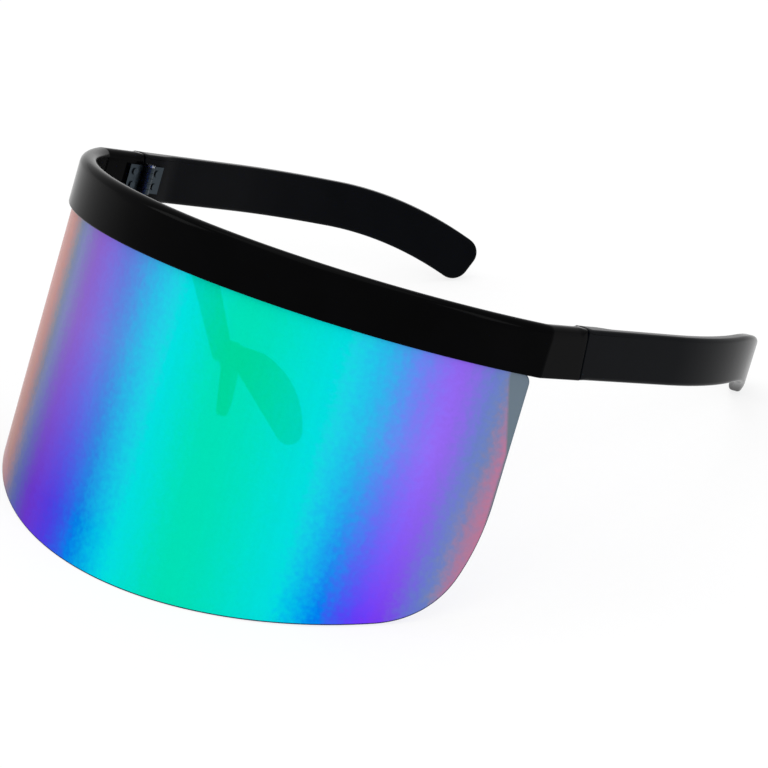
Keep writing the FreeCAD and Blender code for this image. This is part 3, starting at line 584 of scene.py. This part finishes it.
temple_finish, tree, shader, places = start_finish("polished_black_arm")
facing = tree.nodes.new("ShaderNodeNewGeometry").outputs["Normal"]
facing_parts = tree.nodes.new("ShaderNodeSeparateXYZ")
tree.links.new(facing, facing_parts.inputs["Vector"])
place_parts = tree.nodes.new("ShaderNodeSeparateXYZ")
tree.links.new(places, place_parts.inputs["Vector"])
outward = sums(tree, "MULTIPLY", facing_parts.outputs["X"], sums(tree, "SIGN", place_parts.outputs["X"], 0))
inside_share = spread(tree, outward, 0, -1, 0, 1)
cloud = speckle(tree, places, bar_cloud_size, fine_layers)
inside_colour = blend_colours(tree, cloud, temple_inside_grey, temple_inside_paler)
outside_colour = blend_colours(tree, cloud, temple_black, temple_black_paler)
colour = blend_colours(tree, inside_share, outside_colour, inside_colour)
tree.links.new(colour, shader.inputs["Base Color"])
smoothness = spread(tree, inside_share, 0, 1, temple_smooth, temple_inside_smooth)
marks_share = sums(tree, "MULTIPLY", cloud, bar_smooth_handled - bar_smooth)
tree.links.new(sums(tree, "ADD", smoothness, marks_share), shader.inputs["Roughness"])
shader.inputs["Specular IOR Level"].default_value = temple_gloss_share
raise_surface(tree, shader, speckle(tree, places, bar_peel_size, few_layers), bar_peel_depth)

arm_thickness = 3.3 * millimetre
arm_round = 1.0 * millimetre
block_length, ramp_length = 7.2 * millimetre, 5.0 * millimetre
arm_straight = 40 * millimetre
bow_radius = 133.5 * millimetre
side_turn = math.radians(38)
drop_start = 65.3 * millimetre
drop_radius = 117.7 * millimetre
drop_angle = math.radians(22.19)
tip_round = 4.4 * millimetre
straight_steps, bow_steps, drop_steps, tip_steps, arm_rows = 16, 24, 40, 6, 8
arm_start = joint_back + joint_gap / 2


def arm_sides(face):
    """The arm's outline on one face, as lengths along it and heights, seen square to its dropping tip."""
    radius = bow_radius - (arm_thickness if face else 0)
    bow_start_run = arm_straight * math.cos(side_turn) + bow_radius * math.sin(side_turn)

    def at_run(run):
        return arm_straight + bow_radius * (side_turn + math.asin((run - bow_start_run) / radius))

    def on_drop(reach, angle):
        run = drop_start + reach * math.sin(angle)
        return Vector((at_run(run), bar_height / 2 - drop_radius + reach * math.cos(angle)))

    sides, ends = [], []
    for outward in (-1, 1):
        height = bar_height * (1 + outward) / 2
        reach = drop_radius + outward * bar_height / 2
        start = joint_line(height, arm_side_share) - arm_start
        level_part = [start] + steps_between(start, arm_straight, straight_steps)
        level_part += steps_between(arm_straight, at_run(drop_start), bow_steps)
        drop_part = steps_between(0, drop_angle - tip_round / reach, drop_steps)
        side = [Vector((along, height)) for along in level_part]
        side += [on_drop(reach, angle) for angle in drop_part]
        corner = [on_drop(reach - outward * tip_round * (1 - math.cos(turn)),
                          drop_angle - tip_round / reach * (1 - math.sin(turn)))
                  for turn in steps_between(0, upright, 2 * tip_steps)]
        sides.append(side + corner[:tip_steps])
        ends.append(corner[tip_steps - 1:])
    low_end, high_end = ends
    right = low_end + steps_between(low_end[-1], high_end[-1], arm_rows) + high_end[-2::-1]
    left = [sides[0][0]] + steps_between(sides[0][0], sides[1][0], len(right) - 1)
    return sides[0], right, sides[1], left


def arm_place(side):
    """What bends a flat arm inward, for the wearer's left or right."""
    def place(point, face, depth):
        thinned = min(max(point.x - block_length, 0) / ramp_length, 1) * (bar_thickness - arm_thickness)
        if face:
            depth = bar_thickness - thinned - depth
        bend = max(point.x - arm_straight, 0) / bow_radius
        across = bar_side - bow_radius + (bow_radius - depth) * math.cos(bend)
        back = arm_start + min(point.x, arm_straight) + (bow_radius - depth) * math.sin(bend)
        return Vector((side * across, back, point.y))
    return place


arm_rounds = (arm_round, arm_round, arm_round, joint_edge_round)
for name, side in (("left", 1), ("right", -1)):
    place = arm_place(side)
    arm = bend_sheet(name + "_arm_moulding", arm_sides, arm_rounds, place, [temple_finish], side < 0)
    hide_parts(name + "_temple")
    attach(arm, name + "_arm")

# Hinges
# Each hinge is a pair of stamped and plated steel leaves, riveted to the plastic, round a slotted screw.
# The leaves and the rivets' heads are brushed together. The screws are turned and brighter, and so are
# the two that hold the nose piece.
leaf_steel = as_seen(62, 71, 78)
leaf_steel_darker = as_seen(42, 49, 55)
leaf_brush_sizes = (5 * millimetre, 0.12 * millimetre, 0.12 * millimetre)
leaf_smooth = 0.22
leaf_smooth_brushed = 0.4
leaf_brush_depth = 0.004 * millimetre
turned_steel = as_seen(168, 174, 180)
turned_steel_darker = as_seen(122, 128, 136)
turned_size = 0.25 * millimetre
turned_smooth = 0.14
turned_smooth_handled = 0.28

leaf_finish, tree, shader, places = start_finish("brushed_hinge_steel")
stretch = tree.nodes.new("ShaderNodeMapping")
stretch.inputs["Scale"].default_value = [1 / size for size in leaf_brush_sizes]
tree.links.new(places, stretch.inputs["Vector"])
brushing = speckle(tree, stretch.outputs["Vector"], 1, fine_layers)
tree.links.new(blend_colours(tree, brushing, leaf_steel_darker, leaf_steel), shader.inputs["Base Color"])
tree.links.new(spread(tree, brushing, 0, 1, leaf_smooth, leaf_smooth_brushed), shader.inputs["Roughness"])
shader.inputs["Metallic"].default_value = 1
raise_surface(tree, shader, brushing, leaf_brush_depth)
put_on(leaf_finish, "left_front_hinge_leaf", "left_temple_hinge_leaf")
put_on(leaf_finish, "right_front_hinge_leaf", "right_temple_hinge_leaf")
put_on(leaf_finish, "left_front_leaf_rivets", "left_temple_leaf_rivets")
put_on(leaf_finish, "right_front_leaf_rivets", "right_temple_leaf_rivets")

turned_finish, tree, shader, places = start_finish("bright_turned_steel")
turning = speckle(tree, places, turned_size, fine_layers)
tree.links.new(blend_colours(tree, turning, turned_steel_darker, turned_steel), shader.inputs["Base Color"])
smoothness = spread(tree, turning, 0, 1, turned_smooth, turned_smooth_handled)
tree.links.new(smoothness, shader.inputs["Roughness"])
shader.inputs["Metallic"].default_value = 1
put_on(turned_finish, "left_hinge_screw", "right_hinge_screw", "nose_bridge_screws")

# Floor
# A wide sheet of white paper under the glasses, which keeps their shadow.
# Seen straight on or in the gloss it is white, as the room round it is.
floor_reach = 6.0
floor_white = as_seen(250, 250, 250)
floor_glow_share = 0.8
paper_size = 3 * millimetre
paper_roughness = 0.9
paper_white_darker = as_seen(244, 244, 244)

floor_mesh = bpy.data.meshes.new("floor")
corners = [(x * floor_reach, y * floor_reach, 0) for x, y in ((-1, -1), (1, -1), (1, 1), (-1, 1))]
floor_mesh.from_pydata(corners, [], [(0, 1, 2, 3)])
floor = bpy.data.objects.new("floor", floor_mesh)
bpy.context.scene.collection.objects.link(floor)
floor_finish, tree, shader, places = start_finish("white_paper")
paper = speckle(tree, places, paper_size, few_layers)
tree.links.new(blend_colours(tree, paper, paper_white_darker, floor_white), shader.inputs["Base Color"])
shader.inputs["Roughness"].default_value = paper_roughness
shader.inputs["Specular IOR Level"].default_value = 0
ray = tree.nodes.new("ShaderNodeLightPath")
seen = sums(tree, "MAXIMUM", ray.outputs["Is Camera Ray"], ray.outputs["Is Glossy Ray"])
seen = sums(tree, "MAXIMUM", seen, ray.outputs["Is Transmission Ray"])
glow = tree.nodes.new("ShaderNodeEmission")
both = tree.nodes.new("ShaderNodeMixShader")
tree.links.new(sums(tree, "MULTIPLY", seen, floor_glow_share), both.inputs["Fac"])
tree.links.new(shader.outputs["BSDF"], both.inputs[1])
tree.links.new(glow.outputs["Emission"], both.inputs[2])
tree.links.new(both.outputs["Shader"], tree.nodes["Material Output"].inputs["Surface"])
floor_mesh.materials.append(floor_finish)

# Room and lamps
# A white room gives even light all round.
# Soft boxes above and at the sides draw the gloss on the edges.
room_white = (1, 1, 1, 1)
room_light = 0.75
lamps = (
    ("overhead_box", (-0.2, 0.1, 1.9), (1.6, 1.6), 12),
    ("right_box", (1.7, -0.2, 1.1), (0.5, 1.2), 7),
    ("left_box", (-1.6, -1.2, 1.2), (0.9, 0.9), 9),
)
lamp_aim = Vector((0, 0, 0.04))

room = bpy.data.worlds.new("white_room")
bpy.context.scene.world = room
room.use_nodes = True
tree = room.node_tree
backdrop = tree.nodes["Background"]
backdrop.inputs["Color"].default_value = room_white
ray = tree.nodes.new("ShaderNodeLightPath")
seen = sums(tree, "MAXIMUM", ray.outputs["Is Camera Ray"], ray.outputs["Is Transmission Ray"])
tree.links.new(spread(tree, seen, 0, 1, room_light, 1), backdrop.inputs["Strength"])
for name, place, size, power in lamps:
    lamp = bpy.data.lights.new(name, "AREA")
    lamp.shape = "RECTANGLE"
    lamp.size, lamp.size_y = size
    lamp.energy = power
    stand = bpy.data.objects.new(name, lamp)
    stand.location = place
    stand.rotation_euler = (lamp_aim - Vector(place)).to_track_quat("-Z", "Y").to_euler()
    stand.visible_camera = False
    bpy.context.scene.collection.objects.link(stand)

# Camera
# It stands to the wearer's left of the front and looks down, tipped a little as the picture was taken.
camera_azimuth = math.radians(38.9645)
camera_elevation = math.radians(26.4279)
camera_roll = math.radians(3.1144)
camera_distance = 0.90416
camera_target = Vector((3.9435, -0.0968, 17.7456)) * millimetre
camera_lens = 171.509

away = Vector((math.sin(camera_azimuth), -math.cos(camera_azimuth), 0)) * math.cos(camera_elevation)
away.z = math.sin(camera_elevation)
to_right = Vector((math.cos(camera_azimuth), math.sin(camera_azimuth), 0))
to_right = to_right * math.cos(camera_roll) + away.cross(to_right) * math.sin(camera_roll)
axes = Matrix((to_right, away.cross(to_right), away)).transposed().to_4x4()
camera = bpy.data.objects.new("camera", bpy.data.cameras.new("camera"))
camera.data.lens = camera_lens
camera.matrix_world = Matrix.Translation(camera_target + away * camera_distance) @ axes
bpy.context.scene.collection.objects.link(camera)
bpy.context.scene.camera = camera
bpy.context.scene.view_settings.view_transform = "Standard"
